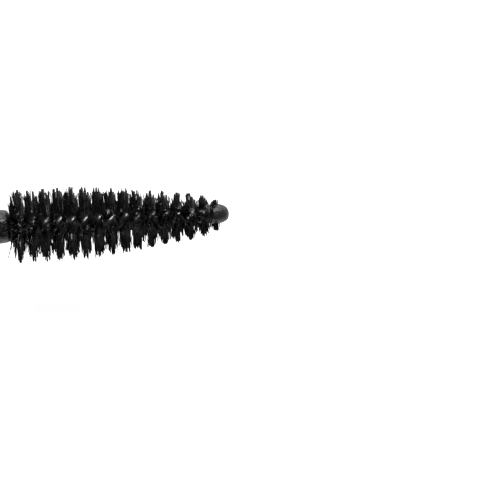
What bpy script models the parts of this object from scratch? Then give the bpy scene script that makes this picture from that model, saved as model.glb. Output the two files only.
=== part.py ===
"""A mascara: a wand, which is a cap with a stem and a twisted-wire brush, and the tube that it closes.

The wand is drawn all the way out. Wand and tube lie on their sides on one line along X, the brush
pointing at the tube's mouth, so that the wand slides home along +X and is then turned to lock.

Each of the two halves hangs on an empty on that line. In an empty's own frame, Z runs along the line
towards the tube's base: a wand piece is drawn from the cap's mouth, a tube piece from its shoulder.
"""

import math

import bmesh
import bpy

MM = 0.001

# Driving dimensions
BODY_RADIUS = 9.0 * MM
CAP_LENGTH = 52.0 * MM
TUBE_LENGTH = 62.0 * MM
NECK_LENGTH = 13.0 * MM
STEM_RADIUS = 2.03 * MM
STEM_REACH = 28.0 * MM  # from the cap's mouth to the stem's end
BRUSH_REACH = 25.6 * MM  # from the stem's end to the wire's tip
OPEN_GAP = 36.4 * MM  # from the wire's tip to the tube's mouth, wand drawn out
CLOSED_GAP = 0.3 * MM  # from the cap's mouth to the shoulder, wand home
FIT = 0.1 * MM  # gap between pieces that are pressed together

# Shells, liner and neck
SHELL_WALL = 1.0 * MM
RING_LENGTH = 3.2 * MM
EDGE = 0.6 * MM  # rounding of the outer edges
NECK_RADIUS = 5.75 * MM
NECK_BORE = 4.75 * MM
LINER_RADIUS = 7.6 * MM
LINER_BORE = 6.5 * MM
VIAL_RADIUS = 7.3 * MM
VIAL_WALL = 1.0 * MM
VIAL_END = 57.5 * MM
FLANGE_TOP = 15.0 * MM  # the stem's flange, measured back from the cap's mouth
FLANGE_THICKNESS = 1.4 * MM
FLANGE_RADIUS = 5.6 * MM
GASKET_THICKNESS = 0.65 * MM
WIPER_FLANGE = 0.75 * MM
COLLAR_BAND = 1.6 * MM  # the part of the collar that shows between neck and shell
SKIRT_WALL = 1.0 * MM  # of the two plugs that close the shells
LABEL_RECESS_RADIUS = 5.6 * MM
LABEL_RECESS_DEPTH = 0.35 * MM

# Thread
THREAD_LEAD = 3.0 * MM
THREAD_TURNS = 1.25
THREAD_RIDGE = 0.5 * MM  # radius of the ridge's round section
THREAD_START = -10.5 * MM  # on the neck, from the shoulder

# Brush
WIRE_RADIUS = 0.31 * MM
STRAND_OFFSET = 0.40 * MM  # from the brush's axis to the middle of each strand
WIRE_LEAD = 3.12 * MM  # one full turn of the twisted pair, left-handed
WIRE_IN_STEM = 6.0 * MM
WIRE_POINTS_PER_TURN = 10
FAN_COUNT = 16
FAN_START = 0.40 * MM  # from the stem's end
FAN_END = 24.7 * MM
FAN_GAP = 0.12 * MM
FAN_THICKNESS = 0.10 * MM
FAN_LEVEL = 1.15 * MM  # from the stem's end to where the bristles first stand along Y
BRUSH_OUTLINE = (  # distance from the stem's end, radius
    (0.0 * MM, 4.30 * MM),
    (2.0 * MM, 4.35 * MM),
    (8.0 * MM, 4.30 * MM),
    (14.0 * MM, 3.78 * MM),
    (18.5 * MM, 3.18 * MM),
    (22.5 * MM, 2.62 * MM),
    (24.8 * MM, 1.70 * MM),
)

# Product
FILL_START = 5.0 * MM
FILL_CHANNEL = 4.75 * MM

# Facets
STEPS_OUTER = 36
STEPS_INNER = 24

# Places along X, with the origin under the middle of the whole length
WHOLE_LENGTH = CAP_LENGTH + STEM_REACH + BRUSH_REACH + OPEN_GAP + NECK_LENGTH + TUBE_LENGTH
MOUTH_X = -WHOLE_LENGTH / 2 + CAP_LENGTH
SHOULDER_X = WHOLE_LENGTH / 2 - TUBE_LENGTH

COLOURS = {  # base colour, roughness, metallic
    "gloss_black": ((0.012, 0.012, 0.013), 0.18, 0.0),
    "dark_metal": ((0.23, 0.22, 0.22), 0.28, 1.0),
    "liner_plastic": ((0.035, 0.035, 0.037), 0.45, 0.0),
    "steel": ((0.55, 0.55, 0.54), 0.35, 1.0),
    "stem_black": ((0.010, 0.010, 0.010), 0.20, 0.0),
    "wire_steel": ((0.30, 0.30, 0.30), 0.25, 1.0),
    "bristle_nylon": ((0.008, 0.008, 0.008), 0.40, 0.0),
    "soft_foam": ((0.60, 0.60, 0.58), 0.85, 0.0),
    "vial_plastic": ((0.45, 0.45, 0.45), 0.35, 0.0),
    "wiper_rubber": ((0.50, 0.50, 0.48), 0.55, 0.0),
    "label_film": ((0.55, 0.54, 0.52), 0.40, 0.0),
    "mascara": ((0.004, 0.004, 0.004), 0.15, 0.0),
}


# Scene set-up


def clear_scene():
    for old in list(bpy.data.objects):
        bpy.data.objects.remove(old, do_unlink=True)


def new_collection(name):
    collection = bpy.data.collections.new(name)
    bpy.context.scene.collection.children.link(collection)
    return collection


def make_material(name):
    colour, roughness, metallic = COLOURS[name]
    material = bpy.data.materials.new(name)
    material.use_nodes = True
    shader = material.node_tree.nodes["Principled BSDF"]
    shader.inputs["Base Color"].default_value = (*colour, 1.0)
    shader.inputs["Roughness"].default_value = roughness
    shader.inputs["Metallic"].default_value = metallic
    material.diffuse_color = (*colour, 1.0)
    return material


clear_scene()
PARTS = new_collection("mascara_tube")
CUTTERS = new_collection("mascara_tube_guides")
MATERIALS = {name: make_material(name) for name in COLOURS}


def make_axis(name, along_x):
    """An empty on the shared axis, its Z pointing along the world's +X."""
    axis = bpy.data.objects.new(name, None)
    axis.location = (along_x, 0.0, BODY_RADIUS)
    axis.rotation_euler = (0.0, math.radians(90), 0.0)
    axis.empty_display_size = 0.01
    PARTS.objects.link(axis)
    return axis


WAND_AXIS = make_axis("wand_axis", MOUTH_X)
TUBE_AXIS = make_axis("tube_axis", SHOULDER_X)


# Modelling helpers


def place(name, data, axis, collection=PARTS):
    piece = bpy.data.objects.new(name, data)
    piece.parent = axis
    collection.objects.link(piece)
    return piece


def settle(piece):
    """Turn a piece and its modifiers into a plain mesh, shaded smooth between its sharp edges."""
    bpy.context.view_layer.update()
    evaluated = piece.evaluated_get(bpy.context.evaluated_depsgraph_get())
    mesh = bpy.data.meshes.new_from_object(evaluated)
    mesh.name = piece.name
    mesh.shade_smooth()
    mesh.set_sharp_from_angle(angle=math.radians(35))
    return mesh


def turned(name, outline, material, axis, steps=STEPS_INNER, closed=True):
    """A turned piece. The outline lists (distance along, radius), from the lowest distance up the outside.

    A closed outline makes a ring. An open one starts and ends on the axis, with radius 0.
    """
    points = [(radius, 0.0, along) for along, radius in reversed(outline)]
    edges = [(i, i + 1) for i in range(len(points) - 1)]
    if closed:
        edges.append((len(points) - 1, 0))
    profile = bpy.data.meshes.new(name + "_profile")
    profile.from_pydata(points, edges, [])
    piece = place(name, profile, axis)
    screw = piece.modifiers.new("turn", "SCREW")
    screw.axis = "Z"
    screw.steps = steps
    screw.render_steps = steps
    screw.use_merge_vertices = True
    screw.merge_threshold = 0.00001
    piece.data = settle(piece)
    piece.modifiers.clear()
    piece.data.materials.clear()
    piece.data.materials.append(MATERIALS[material])
    return piece


def tube_curve(name, points, radius, axis, swell=None, collection=PARTS):
    """A round wire through the points. swell gives each point's share of the radius."""
    curve = bpy.data.curves.new(name, "CURVE")
    curve.dimensions = "3D"
    curve.bevel_depth = radius
    curve.bevel_resolution = 1
    curve.use_fill_caps = True
    spline = curve.splines.new("POLY")
    spline.points.add(len(points) - 1)
    for index, point in enumerate(points):
        spline.points[index].co = (*point, 1.0)
        spline.points[index].radius = swell[index] if swell else 1.0
    return place(name, curve, axis, collection)


def on_helix(radius, angle, along):
    return (radius * math.cos(angle), radius * math.sin(angle), along)


def add_thread(piece, radius, start):
    """Join a right-handed round-topped ridge, faded out at both ends, to a neck or a liner."""
    count = round(THREAD_TURNS * 12)
    points = []
    swell = []
    for index in range(count + 1):
        share = index / count
        turn = share * THREAD_TURNS
        points.append(on_helix(radius, turn * math.tau, start + turn * THREAD_LEAD))
        swell.append(min(1.0, 0.4 + 4 * min(share, 1 - share)))
    ridge = tube_curve(piece.name + "_thread", points, THREAD_RIDGE, piece.parent, swell, CUTTERS)
    mesh = settle(ridge)
    bm = bmesh.new()
    bm.from_mesh(mesh)
    bmesh.ops.remove_doubles(bm, verts=bm.verts, dist=0.000001)
    bmesh.ops.recalc_face_normals(bm, faces=bm.faces)
    bm.to_mesh(mesh)
    bm.free()
    bpy.data.objects.remove(ridge)
    guide = place(piece.name + "_thread_guide", mesh, piece.parent, CUTTERS)
    guide.hide_render = True
    guide.display_type = "WIRE"
    join = piece.modifiers.new("thread", "BOOLEAN")
    join.operation = "UNION"
    join.solver = "EXACT"
    join.object = guide


def brush_radius(along):
    """The brush's outline: straight lines between the named points."""
    for (start, low), (end, high) in zip(BRUSH_OUTLINE, BRUSH_OUTLINE[1:]):
        if along <= end:
            return low + (high - low) * (along - start) / (end - start)
    return BRUSH_OUTLINE[-1][1]


def bristle_angle(along):
    """Which way the bristles stand, at a distance from the stem's end."""
    return math.radians(90) - math.tau * (along - FAN_LEVEL) / WIRE_LEAD


# Wand


def make_cap_shell():
    end = -CAP_LENGTH
    mouth = -RING_LENGTH - FIT
    bore = BODY_RADIUS - SHELL_WALL
    outline = [
        (end, bore),
        (end, BODY_RADIUS - EDGE),
        (end + 0.3 * EDGE, BODY_RADIUS - 0.3 * EDGE),
        (end + EDGE, BODY_RADIUS),
        (mouth, BODY_RADIUS),
        (mouth, bore),
    ]
    turned("cap_shell", outline, "gloss_black", WAND_AXIS, STEPS_OUTER)


def make_cap_top_disc():
    end = -CAP_LENGTH
    inner_face = end + 1.4 * MM
    skirt_end = end + 5.0 * MM
    rim = BODY_RADIUS - SHELL_WALL - FIT
    outline = [
        (end, 0.0),
        (end, rim),
        (skirt_end, rim),
        (skirt_end, rim - SKIRT_WALL),
        (inner_face, rim - SKIRT_WALL),
        (inner_face, 0.0),
    ]
    turned("cap_top_disc", outline, "dark_metal", WAND_AXIS, closed=False)


def make_cap_ring():
    bore = LINER_RADIUS + FIT
    groove = 0.25 * MM
    outline = [
        (-RING_LENGTH, bore),
        (-RING_LENGTH, BODY_RADIUS - groove),
        (-RING_LENGTH + groove, BODY_RADIUS),
        (-groove, BODY_RADIUS),
        (0.0, BODY_RADIUS - groove),
        (0.0, bore),
    ]
    turned("cap_ring", outline, "dark_metal", WAND_AXIS, STEPS_OUTER)


def make_inner_cap():
    seat = -FLANGE_TOP - FIT
    roof = seat - 1.6 * MM
    socket_top = roof - 6.0 * MM
    socket_bore = STEM_RADIUS + 0.65 * MM
    socket_wall = 1.4 * MM
    outline = [
        (socket_top, socket_bore),
        (socket_top, socket_bore + socket_wall),
        (roof, socket_bore + socket_wall),
        (roof, LINER_RADIUS - EDGE),
        (roof + EDGE, LINER_RADIUS),
        (-0.2 * MM, LINER_RADIUS),
        (-0.2 * MM, LINER_BORE),
        (seat, LINER_BORE),
        (seat, socket_bore),
    ]
    liner = turned("inner_cap", outline, "liner_plastic", WAND_AXIS)
    half_turn_off = THREAD_START + CLOSED_GAP - THREAD_LEAD / 2
    add_thread(liner, LINER_BORE, half_turn_off)


def make_cap_weight():
    low = -FLANGE_TOP - 17.5 * MM
    high = low + 9.0 * MM
    radius = BODY_RADIUS - SHELL_WALL - 3 * FIT
    outline = [
        (low, 0.0),
        (low, radius - EDGE),
        (low + EDGE, radius),
        (high - EDGE, radius),
        (high, radius - EDGE),
        (high, 0.0),
    ]
    turned("cap_weight", outline, "steel", WAND_AXIS, closed=False)


def make_stem():
    spigot_top = -FLANGE_TOP - 7.0 * MM
    spigot = STEM_RADIUS + 0.5 * MM
    chamfer = 0.4 * MM
    flange_low = -FLANGE_TOP
    flange_high = flange_low + FLANGE_THICKNESS
    hole = STRAND_OFFSET + WIRE_RADIUS + 1.5 * FIT
    hole_floor = STEM_REACH - WIRE_IN_STEM - 0.5 * MM
    outline = [
        (spigot_top, 0.0),
        (spigot_top, spigot - chamfer),
        (spigot_top + chamfer, spigot),
        (flange_low, spigot),
        (flange_low, FLANGE_RADIUS),
        (flange_high, FLANGE_RADIUS),
        (flange_high, STEM_RADIUS),
        (STEM_REACH - 0.8 * MM, STEM_RADIUS),
        (STEM_REACH - 0.2 * MM, STEM_RADIUS - 0.1 * MM),
        (STEM_REACH, STEM_RADIUS - 0.3 * MM),
        (STEM_REACH, hole),
        (hole_floor, hole),
        (hole_floor, 0.0),
    ]
    turned("stem", outline, "stem_black", WAND_AXIS, closed=False)


def make_core_wire():
    """One wire bent double: out along one strand, round the tip and back along the other."""
    start = -WIRE_IN_STEM
    end = BRUSH_REACH - STRAND_OFFSET - WIRE_RADIUS
    count = round((end - start) / WIRE_LEAD * WIRE_POINTS_PER_TURN)
    strand = [start + (end - start) * index / count for index in range(count + 1)]
    quarter = math.radians(90)
    out = [on_helix(STRAND_OFFSET, bristle_angle(s) + quarter, STEM_REACH + s) for s in strand]
    back = [on_helix(STRAND_OFFSET, bristle_angle(s) - quarter, STEM_REACH + s) for s in strand]
    tip_angle = bristle_angle(end) + quarter
    bend = []
    for step in range(1, 6):
        swing = math.pi * step / 6
        reach = STEM_REACH + end + STRAND_OFFSET * math.sin(swing)
        bend.append(on_helix(STRAND_OFFSET * math.cos(swing), tip_angle, reach))
    wire = tube_curve("core_wire", out + bend + back[::-1], WIRE_RADIUS, WAND_AXIS)
    wire.data.materials.append(MATERIALS["wire_steel"])


def make_bristle_fan(number):
    """The bristles of one half turn: a thin twisted blade, held between the two strands."""
    pitch = WIRE_LEAD / 2
    start = FAN_START + (number - 1) * pitch
    end = min(start + pitch - FAN_GAP, FAN_END)
    rows = 8
    core = STRAND_OFFSET + WIRE_RADIUS
    bm = bmesh.new()
    grid = []
    for row in range(rows + 1):
        along = start + (end - start) * row / rows
        angle = bristle_angle(along)
        reach = brush_radius(along)
        points = [on_helix(radius, angle, STEM_REACH + along) for radius in (-reach, -core, core, reach)]
        grid.append([bm.verts.new(point) for point in points])
    for low, high in zip(grid, grid[1:]):
        for column in range(len(low) - 1):
            bm.faces.new((low[column], low[column + 1], high[column + 1], high[column]))
    name = f"bristle_fan_{number:02d}"
    mesh = bpy.data.meshes.new(name)
    bm.to_mesh(mesh)
    bm.free()
    mesh.shade_smooth()
    mesh.materials.append(MATERIALS["bristle_nylon"])
    fan = place(name, mesh, WAND_AXIS)
    thicken = fan.modifiers.new("thickness", "SOLIDIFY")
    thicken.thickness = FAN_THICKNESS
    thicken.offset = 0.0


def make_neck_gasket():
    low = -FLANGE_TOP + FLANGE_THICKNESS + FIT / 2
    high = low + GASKET_THICKNESS
    hole = STEM_RADIUS + 0.3 * MM
    outline = [
        (low, hole),
        (low, FLANGE_RADIUS),
        (high, FLANGE_RADIUS),
        (high, hole),
    ]
    turned("neck_gasket", outline, "soft_foam", WAND_AXIS)


# Tube


def make_vial():
    """The neck and the vial in one piece, closed at the base, with the neck's thread."""
    top = -NECK_LENGTH + WIPER_FLANGE + FIT / 2
    inside = VIAL_RADIUS - VIAL_WALL
    floor = VIAL_END - VIAL_WALL
    neck_chamfer = 0.3 * MM
    floor_chamfer = 0.6 * MM
    base_chamfer = 1.0 * MM
    outline = [
        (floor, 0.0),
        (floor, inside - floor_chamfer),
        (floor - floor_chamfer, inside),
        (4.2 * MM, inside),
        (2.4 * MM, NECK_BORE),
        (top, NECK_BORE),
        (top, NECK_RADIUS - neck_chamfer),
        (top + neck_chamfer, NECK_RADIUS),
        (1.0 * MM, NECK_RADIUS),
        (2.8 * MM, VIAL_RADIUS),
        (VIAL_END - base_chamfer, VIAL_RADIUS),
        (VIAL_END, VIAL_RADIUS - base_chamfer),
        (VIAL_END, 0.0),
    ]
    vial = turned("vial", outline, "vial_plastic", TUBE_AXIS, closed=False)
    add_thread(vial, NECK_RADIUS, THREAD_START)


def make_wiper():
    """A flanged sleeve in the neck that narrows to a lip round the stem."""
    top = -NECK_LENGTH
    flange = NECK_RADIUS - FIT
    outer = NECK_BORE - FIT
    inner = outer - 0.5 * MM
    lip = STEM_RADIUS + 0.08 * MM
    outline = [
        (top, inner),
        (top, flange),
        (top + WIPER_FLANGE, flange),
        (top + WIPER_FLANGE, outer),
        (-5.0 * MM, outer),
        (-4.5 * MM, outer - 0.2 * MM),
        (-0.4 * MM, lip + 0.35 * MM),
        (-0.4 * MM, lip),
        (-0.9 * MM, lip),
        (-5.0 * MM, inner - 0.1 * MM),
        (-6.0 * MM, inner),
    ]
    turned("wiper", outline, "wiper_rubber", TUBE_AXIS)


def make_shoulder_collar():
    skirt = BODY_RADIUS - SHELL_WALL - FIT
    lining = VIAL_RADIUS + FIT
    hole = NECK_RADIUS + 0.4 * MM
    chamfer = 0.25 * MM
    outline = [
        (0.0, hole),
        (0.0, BODY_RADIUS - chamfer),
        (chamfer, BODY_RADIUS),
        (COLLAR_BAND - chamfer, BODY_RADIUS),
        (COLLAR_BAND, BODY_RADIUS - chamfer),
        (COLLAR_BAND, skirt),
        (5.0 * MM, skirt),
        (5.0 * MM, lining),
        (2.2 * MM, lining),
        (0.8 * MM, hole),
    ]
    turned("shoulder_collar", outline, "dark_metal", TUBE_AXIS, STEPS_OUTER)


def make_bottle_shell():
    bore = BODY_RADIUS - SHELL_WALL
    top = COLLAR_BAND + FIT
    outline = [
        (top, bore),
        (top, BODY_RADIUS),
        (TUBE_LENGTH - EDGE, BODY_RADIUS),
        (TUBE_LENGTH - 0.3 * EDGE, BODY_RADIUS - 0.3 * EDGE),
        (TUBE_LENGTH, BODY_RADIUS - EDGE),
        (TUBE_LENGTH, bore),
    ]
    turned("bottle_shell", outline, "gloss_black", TUBE_AXIS, STEPS_OUTER)


def make_mascara_fill():
    """The product lines the vial. The brush has left a channel through it."""
    outer = VIAL_RADIUS - VIAL_WALL - FIT
    end = VIAL_END - VIAL_WALL - FIT
    channel_end = end - 1.0 * MM
    chamfer = 0.7 * MM
    outline = [
        (channel_end, 0.0),
        (channel_end - 0.4 * MM, FILL_CHANNEL),
        (FILL_START + 0.8 * MM, FILL_CHANNEL),
        (FILL_START, FILL_CHANNEL + chamfer),
        (FILL_START + 0.3 * MM, outer),
        (end - chamfer, outer),
        (end, outer - chamfer),
        (end, 0.0),
    ]
    turned("mascara_fill", outline, "mascara", TUBE_AXIS, closed=False)


def make_base_plug():
    """Closes the shell. Its face has a shallow recess for the label."""
    rim = BODY_RADIUS - SHELL_WALL - FIT
    skirt_end = VIAL_END + 0.6 * MM
    inner_face = TUBE_LENGTH - 1.8 * MM
    outline = [
        (inner_face, 0.0),
        (inner_face, rim - SKIRT_WALL),
        (skirt_end, rim - SKIRT_WALL),
        (skirt_end, rim),
        (TUBE_LENGTH, rim),
        (TUBE_LENGTH, LABEL_RECESS_RADIUS),
        (TUBE_LENGTH - LABEL_RECESS_DEPTH, LABEL_RECESS_RADIUS),
        (TUBE_LENGTH - LABEL_RECESS_DEPTH, 0.0),
    ]
    turned("base_plug", outline, "gloss_black", TUBE_AXIS, closed=False)


def make_base_label():
    face = TUBE_LENGTH - FIT
    back = TUBE_LENGTH - LABEL_RECESS_DEPTH + FIT / 2
    radius = LABEL_RECESS_RADIUS - 2 * FIT
    outline = [
        (back, 0.0),
        (back, radius),
        (face, radius),
        (face, 0.0),
    ]
    turned("base_label", outline, "label_film", TUBE_AXIS, closed=False)


make_cap_shell()
make_cap_top_disc()
make_cap_ring()
make_inner_cap()
make_cap_weight()
make_stem()
make_core_wire()
for fan_number in range(1, FAN_COUNT + 1):
    make_bristle_fan(fan_number)
make_neck_gasket()
make_wiper()
make_vial()
make_shoulder_collar()
make_bottle_shell()
make_mascara_fill()
make_base_plug()
make_base_label()
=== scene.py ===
"""The looks of the mascara: turned shells with fine edges, a twisted wire, wet bristles and product."""

import math

import bpy
import numpy as np
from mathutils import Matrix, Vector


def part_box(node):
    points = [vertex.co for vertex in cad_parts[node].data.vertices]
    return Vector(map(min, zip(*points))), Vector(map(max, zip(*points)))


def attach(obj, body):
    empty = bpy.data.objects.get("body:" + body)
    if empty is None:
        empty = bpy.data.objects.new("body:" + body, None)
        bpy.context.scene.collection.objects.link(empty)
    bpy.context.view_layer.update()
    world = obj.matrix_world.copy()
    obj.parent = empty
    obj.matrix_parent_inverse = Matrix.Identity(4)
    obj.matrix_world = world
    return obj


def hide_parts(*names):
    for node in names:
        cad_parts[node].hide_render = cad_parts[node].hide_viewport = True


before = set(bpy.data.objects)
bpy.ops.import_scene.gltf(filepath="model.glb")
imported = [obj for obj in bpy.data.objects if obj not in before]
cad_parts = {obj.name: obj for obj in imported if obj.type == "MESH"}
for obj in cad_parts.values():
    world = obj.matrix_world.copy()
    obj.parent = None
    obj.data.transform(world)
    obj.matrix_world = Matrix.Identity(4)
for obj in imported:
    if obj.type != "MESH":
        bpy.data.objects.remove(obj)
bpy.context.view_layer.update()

MM = 0.001
RANDOM = np.random.default_rng(7)

# Places read from the frame
CAP_END_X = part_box("cap_shell")[0][0]
MOUTH_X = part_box("cap_ring")[1][0]
STEM_END_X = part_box("stem")[1][0]
WIRE_TIP_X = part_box("core_wire")[1][0]
WIRE_START_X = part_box("core_wire")[0][0]
NECK_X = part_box("wiper")[0][0]
SHOULDER_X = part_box("shoulder_collar")[0][0]
BASE_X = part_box("bottle_shell")[1][0]
BODY_RADIUS = (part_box("bottle_shell")[1][2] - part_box("bottle_shell")[0][2]) / 2
AXIS_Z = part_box("bottle_shell")[0][2] + BODY_RADIUS
CAP_LENGTH = MOUTH_X - CAP_END_X
TUBE_LENGTH = BASE_X - SHOULDER_X

# Sizes repeated from the CAD
FIT = 0.1 * MM
WALL = 1.0 * MM
SHELL_BORE = BODY_RADIUS - WALL
PLUG_RADIUS = SHELL_BORE - FIT  # of what is pressed into the shells
RING_LENGTH = 3.2 * MM
COLLAR_BAND = 1.6 * MM  # the part of the collar that shows between neck and shell
SKIRT_LENGTH = 5.0 * MM  # of the end disc and the collar
LABEL_RECESS_RADIUS = 5.6 * MM
LABEL_RECESS_DEPTH = 0.35 * MM
STEM_RADIUS = 2.03 * MM
NECK_RADIUS = 5.75 * MM
NECK_BORE = 4.75 * MM
LINER_RADIUS = 7.6 * MM
LINER_BORE = 6.5 * MM
VIAL_RADIUS = 7.3 * MM
VIAL_END = 57.5 * MM
FLANGE_TOP = 15.0 * MM
FLANGE_RADIUS = 5.6 * MM
FLANGE_THICKNESS = 1.4 * MM
THREAD_LEAD = 3.0 * MM
THREAD_TURNS = 1.25
THREAD_START = -10.5 * MM
THREAD_HEIGHT = 0.5 * MM
CLOSED_GAP = 0.3 * MM

# Roundings, coarse to fine
END_EDGE = 0.75 * MM
SOFT_EDGE = 0.3 * MM
EDGE = 0.2 * MM
CRISP_EDGE = 0.1 * MM

# Brush
FAN_COUNT = 16
FAN_START = 0.40 * MM
FAN_END = 24.7 * MM
FAN_LEVEL = 1.15 * MM  # from the stem's end to where the bristles first stand along Y
WIRE_LEAD = 3.12 * MM
STRAND_RADIUS = 0.36 * MM
STRAND_OFFSET = 0.35 * MM
BRISTLES_PER_FAN = 140
CLUMPS_PER_SIDE = 8
BRISTLE_RADIUS = 0.056 * MM
BRISTLE_POINTS = 7  # along each bristle
BRISTLE_FOOT = 0.25 * MM  # from the brush's axis to where the bristles begin
BRUSH_OUTLINE = (  # distance from the stem's end, radius
    np.array([0.0, 2.0, 8.0, 14.0, 18.5, 22.5, 24.8]) * MM,
    np.array([4.40, 4.42, 4.36, 3.84, 3.22, 2.66, 1.75]) * MM,
)
PRODUCT_VOXEL = 0.085 * MM
LOOSE_SHARE = 0.45  # of the bristles, which stand apart from the clumps
MOST_STRAY = math.radians(56)  # round the wire, of the loose bristles
STRAY_SPREAD = math.radians(13)  # round the wire, of the rest
STRAY_SHORTENING = 0.28  # how much less the bristles reach that stray most
TIP_SCATTER = 0.24 * MM  # along the wire
FIRST_SPLAY = 0.9 * MM  # how far the first bristles lean back over the stem
FIRST_SPLAY_REACH = 0.55 * MM
LEVELLING = 0.35  # how far the bristles are pressed out to the level, as the brush was wiped flat
PARTING = math.radians(30)  # the steepest that bristles stand where they part over the wire
LEAN = 0.10 * MM  # how far the tips are pushed towards -Y
NEAR_LEVEL = math.radians(64)  # bristles whose feet stand steeper than this are not parted
BARE_WIRE = (3.6 * MM, 15.2 * MM)  # where the wire shows between the clumps
COAT_RADIUS = 0.48 * MM  # of the product on each strand of the wire
COAT_OFFSET = 0.56 * MM  # from the brush's axis to the middle of each
CORE_CLOTS = 650
STEM_END_CLOTS = 70


# Materials


class Look:
    """A Principled material, with a few short calls to add procedural detail in the piece's own metres."""

    def __init__(self, name, colour, roughness, metallic=0.0, **fixed):
        self.material = bpy.data.materials.new(name)
        self.material.use_nodes = True
        self.tree = self.material.node_tree
        self.shader = self.tree.nodes["Principled BSDF"]
        self.shader.inputs["Base Color"].default_value = (*colour, 1.0)
        self.shader.inputs["Roughness"].default_value = roughness
        self.shader.inputs["Metallic"].default_value = metallic
        for socket, value in fixed.items():
            self.shader.inputs[socket.replace("_", " ")].default_value = value
        self.coordinates = self.tree.nodes.new("ShaderNodeTexCoord")

    def node(self, kind, **settings):
        made = self.tree.nodes.new(kind)
        for key, value in settings.items():
            setattr(made, key, value)
        return made

    def link(self, source, target):
        self.tree.links.new(source, target)

    def noise(self, scale, detail=3.0, roughness=0.5, distortion=0.0):
        """Noise with its own number of cells to the metre along X, Y and Z."""
        mapping = self.node("ShaderNodeMapping")
        mapping.inputs["Scale"].default_value = scale if isinstance(scale, tuple) else (scale,) * 3
        texture = self.node("ShaderNodeTexNoise")
        texture.inputs["Scale"].default_value = 1.0
        texture.inputs["Detail"].default_value = detail
        texture.inputs["Roughness"].default_value = roughness
        texture.inputs["Distortion"].default_value = distortion
        self.link(self.coordinates.outputs["Object"], mapping.inputs["Vector"])
        self.link(mapping.outputs["Vector"], texture.inputs["Vector"])
        return texture.outputs["Fac"]

    def ranged(self, source, low, high, start=0.3, end=0.7):
        """Map the source's start to end onto low to high."""
        mapped = self.node("ShaderNodeMapRange")
        mapped.inputs["From Min"].default_value = start
        mapped.inputs["From Max"].default_value = end
        mapped.inputs["To Min"].default_value = low
        mapped.inputs["To Max"].default_value = high
        self.link(source, mapped.inputs["Value"])
        return mapped.outputs["Result"]

    def mixed(self, share, first, second):
        """A colour between two, by a share from 0 to 1."""
        mix = self.node("ShaderNodeMix", data_type="RGBA")
        mix.inputs["A"].default_value = (*first, 1.0)
        mix.inputs["B"].default_value = (*second, 1.0)
        self.link(share, mix.inputs["Factor"])
        return mix.outputs["Result"]

    def maths(self, operation, first, second):
        node = self.node("ShaderNodeMath", operation=operation)
        for value, socket in zip((first, second), node.inputs):
            if isinstance(value, (int, float)):
                socket.default_value = value
            else:
                self.link(value, socket)
        return node.outputs["Value"]

    def along(self):
        """The distance along X, in metres."""
        split = self.node("ShaderNodeSeparateXYZ")
        self.link(self.coordinates.outputs["Object"], split.inputs["Vector"])
        return split.outputs["X"]

    def lathe_marks(self, fine, slow):
        """Noise in rings round the common axis: fine cells along X and outwards, slow ones across."""
        split = self.node("ShaderNodeSeparateXYZ")
        self.link(self.coordinates.outputs["Object"], split.inputs["Vector"])
        across = split.outputs["Y"]
        height = self.maths("SUBTRACT", split.outputs["Z"], AXIS_Z)
        squares = [self.maths("MULTIPLY", side, side) for side in (across, height)]
        outwards = self.maths("SQRT", self.maths("ADD", *squares), 0.0)
        place = self.node("ShaderNodeCombineXYZ")
        self.link(self.maths("MULTIPLY", split.outputs["X"], fine), place.inputs["X"])
        self.link(self.maths("MULTIPLY", outwards, fine), place.inputs["Y"])
        self.link(self.maths("MULTIPLY", across, slow), place.inputs["Z"])
        texture = self.node("ShaderNodeTexNoise")
        texture.inputs["Scale"].default_value = 1.0
        texture.inputs["Detail"].default_value = 3.0
        texture.inputs["Roughness"].default_value = 0.7
        self.link(place.outputs["Vector"], texture.inputs["Vector"])
        return texture.outputs["Fac"]

    def colour(self, source):
        self.link(source, self.shader.inputs["Base Color"])

    def roughness(self, source):
        self.link(source, self.shader.inputs["Roughness"])

    def bump(self, *layers):
        """Each layer is (height source, depth in metres)."""
        normal = None
        for height, depth in layers:
            bump = self.node("ShaderNodeBump")
            bump.inputs["Strength"].default_value = 1.0
            bump.inputs["Distance"].default_value = depth
            self.link(height, bump.inputs["Height"])
            if normal:
                self.link(normal, bump.inputs["Normal"])
            normal = bump.outputs["Normal"]
        self.link(normal, self.shader.inputs["Normal"])


def gloss_black_look():
    """Injection-moulded gloss black: a slow waviness, handling haze and fine scratches."""
    look = Look("gloss_black_moulded", (0.011, 0.011, 0.012), 0.12, Coat_Weight=0.35, Coat_Roughness=0.06)
    haze = look.noise(260.0, detail=5.0, roughness=0.6)
    scratches = look.noise((900.0, 9000.0, 9000.0), detail=2.0)
    scratched = look.ranged(scratches, 0.0, 0.10, 0.62, 0.75)
    look.roughness(look.maths("ADD", look.ranged(haze, 0.07, 0.20), scratched))
    look.colour(look.mixed(look.ranged(haze, 0.0, 1.0), (0.009, 0.009, 0.010), (0.015, 0.015, 0.016)))
    look.bump((look.noise(120.0, detail=1.0), 0.00001), (scratches, 0.0000006))
    return look.material


def dark_metal_look():
    """Anodised metal, turned: fine grooves run round the axis."""
    look = Look("dark_metal_turned", (0.20, 0.19, 0.19), 0.28, 1.0)
    grooves = look.lathe_marks(14000.0, 300.0)
    patches = look.noise(400.0, detail=4.0)
    look.colour(look.mixed(look.ranged(grooves, 0.0, 1.0), (0.14, 0.135, 0.135), (0.30, 0.29, 0.285)))
    look.roughness(look.maths("ADD", look.ranged(grooves, 0.18, 0.34), look.ranged(patches, 0.0, 0.04)))
    look.bump((grooves, 0.000004))
    return look.material


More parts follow.
